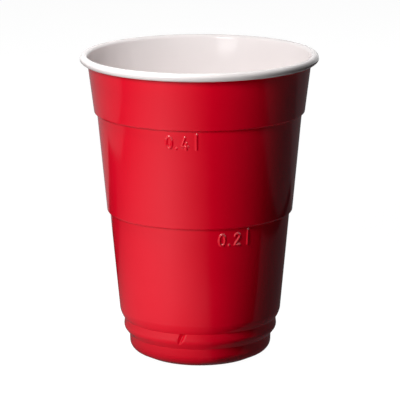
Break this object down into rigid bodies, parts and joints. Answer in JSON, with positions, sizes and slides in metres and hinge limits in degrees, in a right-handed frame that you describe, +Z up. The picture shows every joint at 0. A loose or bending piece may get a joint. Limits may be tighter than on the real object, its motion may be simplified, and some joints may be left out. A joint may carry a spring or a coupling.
{
  "type": "plastic party cup",
  "caption": "Tall tapered drinking cup of thin plastic, red outside and white inside, with a rolled rim, two stepped fill lines and a notched stacking ring above the foot.",
  "frame": {"origin": "on the axis of the cup, on the surface that it stands on", "axes": "+Z up along the axis, -Y towards the side with the fill volumes"},
  "size_m": [0.0968, 0.0968, 0.125],
  "materials": {
    "two_colour_sheet": "smooth glossy polystyrene sheet, red outside, white inside and on the rolled rim"
  },
  "bodies": {
    "root": {"cup": "two_colour_sheet"}
  },
  "joints": []
}
